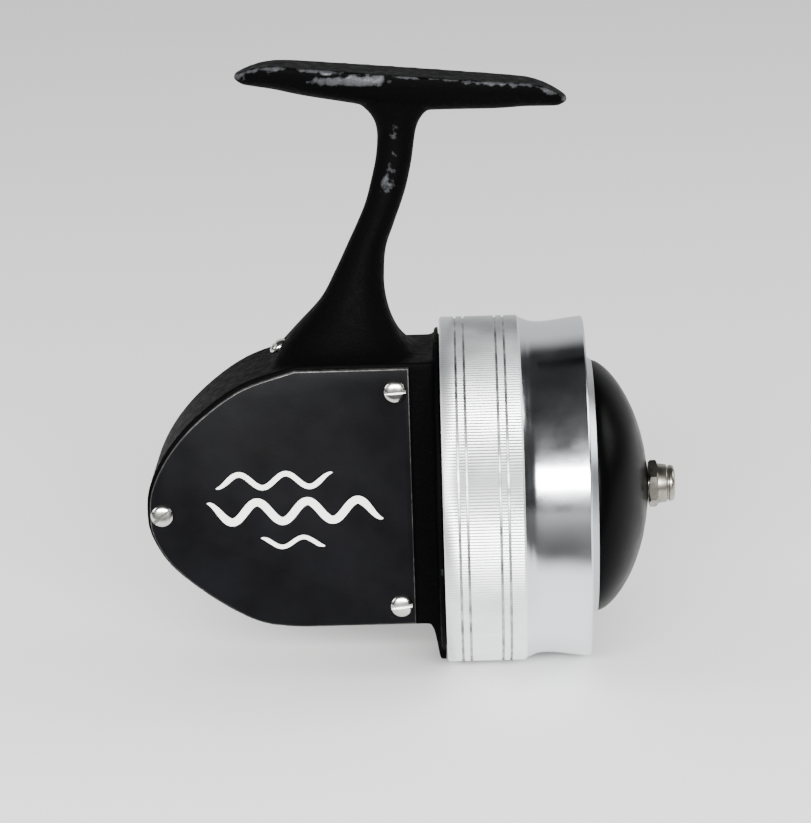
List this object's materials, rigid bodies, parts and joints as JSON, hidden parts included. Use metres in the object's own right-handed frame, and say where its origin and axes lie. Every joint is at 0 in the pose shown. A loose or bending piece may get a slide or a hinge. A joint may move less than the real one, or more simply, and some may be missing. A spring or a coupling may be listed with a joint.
{
  "type": "spincast reel",
  "caption": "Closed-face spincast fishing reel with a rod foot on a cast stem, side plate, side crank with knob, knurled metal front cover and a domed nose with a line guide.",
  "frame": {"origin": "centre of the foot's flat seat, where the reel rests on the rod", "axes": "+X along the spool axis towards the line exit, +Y towards the crank side, +Z from the spool to the foot"},
  "size_m": [0.0998, 0.0726, 0.1156],
  "materials": {
    "black_enamel": "black crackle enamel on die-cast metal, worn bare at edges",
    "black_plate_paint": "satin black paint",
    "nickel": "nickel plate, dulled",
    "bright_aluminium": "turned, knurled and polished",
    "plain_aluminium": "satin",
    "black_dome": "satin black enamel",
    "amber_plastic": "clear amber, moulded",
    "brass": "machined",
    "steel": "ground",
    "fibre": "red vulcanised fibre",
    "line": "nylon monofilament"
  },
  "bodies": {
    "frame": {"housing": "black_enamel", "side_plate": "black_plate_paint", "plate_screw_upper": "nickel", "plate_screw_lower": "nickel", "plate_screw_rear": "nickel", "oil_screw": "nickel", "crank_bushing": "brass", "thrust_washer": "steel", "rear_shaft_bushing": "brass", "front_shaft_bushing": "brass", "spool_sleeve": "steel", "spool_rear_washer": "fibre", "drag_washer": "fibre", "drag_spring": "steel"},
    "crank": {"crank_shaft": "steel", "drive_gear": "brass", "gear_screw": "steel", "crank_arm": "nickel", "crank_nut": "nickel", "knob_rivet": "nickel"},
    "knob": {"handle_knob": "amber_plastic"},
    "winding_head": {"centre_shaft": "steel", "pinion": "brass", "shaft_clip": "steel", "rotor_cup": "plain_aluminium", "rotor_nut": "nickel", "pickup_spring": "steel"},
    "pin": {"pickup_pin": "steel"},
    "spool": {"spool": "plain_aluminium", "line_winding": "line"},
    "drag_adjuster": {"drag_nut": "brass"},
    "cover": {"front_cover": "bright_aluminium", "nose_dome": "black_dome", "line_guide": "nickel", "guide_locknut": "nickel"}
  },
  "joints": [
    {"name": "crank_turn", "type": "hinge", "parent": "frame", "child": "crank", "pos_m": [-0.0289, 0, -0.0805], "axis": [0, 1, 0], "continuous": true},
    {"name": "knob_spin", "type": "hinge", "parent": "crank", "child": "knob", "pos_m": [-0.01459, 0.02, -0.0576], "axis": [0, 1, 0], "continuous": true},
    {"name": "winding_head_turn", "type": "hinge", "parent": "frame", "child": "winding_head", "pos_m": [0.0056, 0, -0.0805], "axis": [1, 0, 0], "continuous": true},
    {"name": "pickup_pin_slide", "type": "slide", "parent": "winding_head", "child": "pin", "axis": [0, 0, -1], "range_m": [0, 0.0019], "stiffness_N_per_m": 200, "springref_m": -0.002, "deforming": ["pickup_spring"]},
    {"name": "spool_slip", "type": "hinge", "parent": "frame", "child": "spool", "pos_m": [0.0056, 0, -0.0805], "axis": [1, 0, 0], "continuous": true},
    {"name": "drag_nut_turn", "type": "hinge", "parent": "frame", "child": "drag_adjuster", "pos_m": [0.0056, 0, -0.0805], "axis": [1, 0, 0], "range_deg": [-180, 180]},
    {"name": "cover_off", "type": "slide", "parent": "frame", "child": "cover", "axis": [1, 0, 0], "range_m": [0, 0.045]}
  ],
  "couplings": [
    {"joint": "winding_head_turn", "follows": "crank_turn", "ratio": -3}
  ]
}
